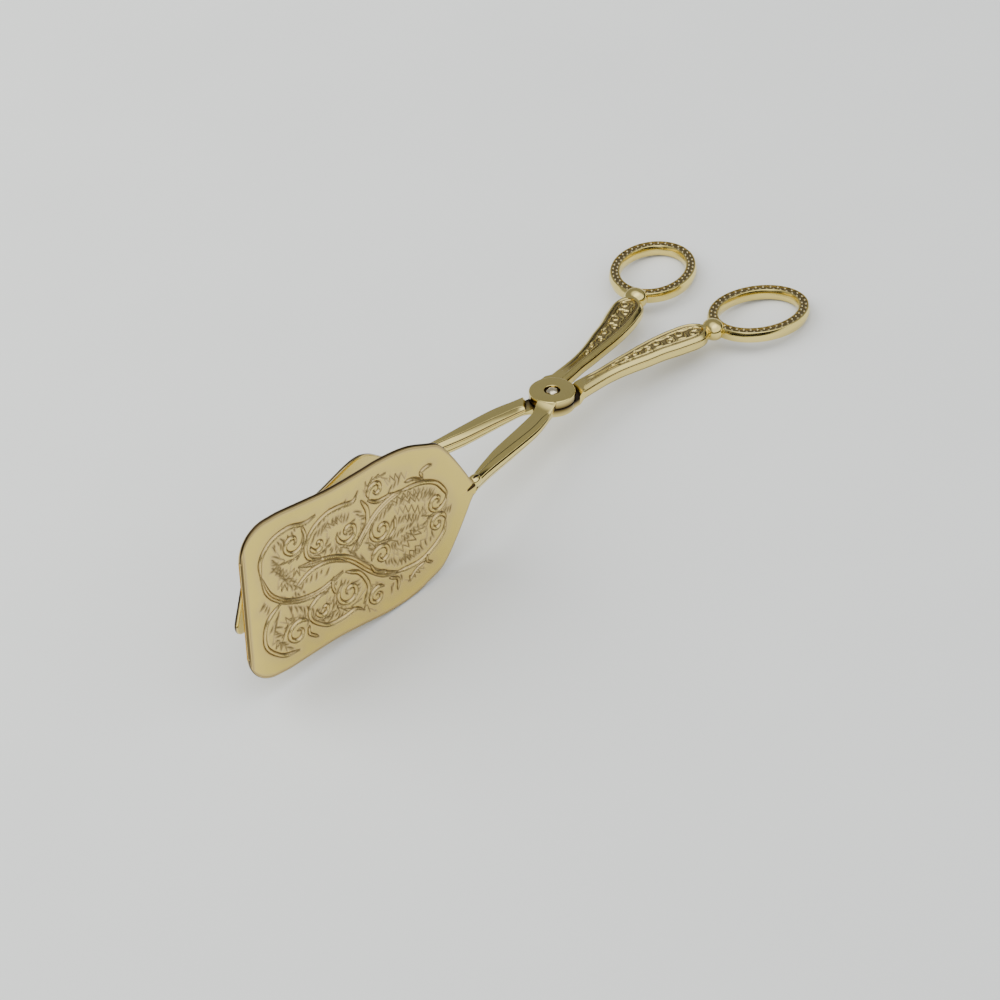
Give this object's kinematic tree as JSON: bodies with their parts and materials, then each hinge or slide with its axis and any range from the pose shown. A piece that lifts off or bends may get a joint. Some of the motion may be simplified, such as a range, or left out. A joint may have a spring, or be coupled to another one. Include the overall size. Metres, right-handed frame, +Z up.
{
  "type": "serving tongs",
  "caption": "Gilt scissor-action serving tongs: oval finger rings, panelled handles, riveted lap joint, tapering arms, a broad upright blade and a narrower one.",
  "frame": {"origin": "on the ground under the middle of the bounding box, with the tongs lying as in the picture, on both finger rings and the lower edge of the broad blade", "axes": "+X along the tongs from the blades to the finger rings, +Y towards the near half's finger ring, +Z up"},
  "size_m": [0.2044, 0.0622, 0.053],
  "materials": {
    "gilt_casting": "polished gilt casting",
    "gilt_sheet": "polished gilt sheet",
    "rivet_metal": "polished, paler than the castings"
  },
  "bodies": {
    "far_half": {"far_handle": "gilt_casting", "far_blade": "gilt_sheet", "pivot_rivet": "rivet_metal"},
    "near_half": {"near_handle": "gilt_casting", "near_blade": "gilt_sheet"}
  },
  "joints": [
    {"name": "pivot", "type": "hinge", "parent": "far_half", "child": "near_half", "pos_m": [0.01933, 0, 0.01345], "axis": [0.1421, 0, 0.9899], "range_deg": [-0.3, 73]}
  ]
}
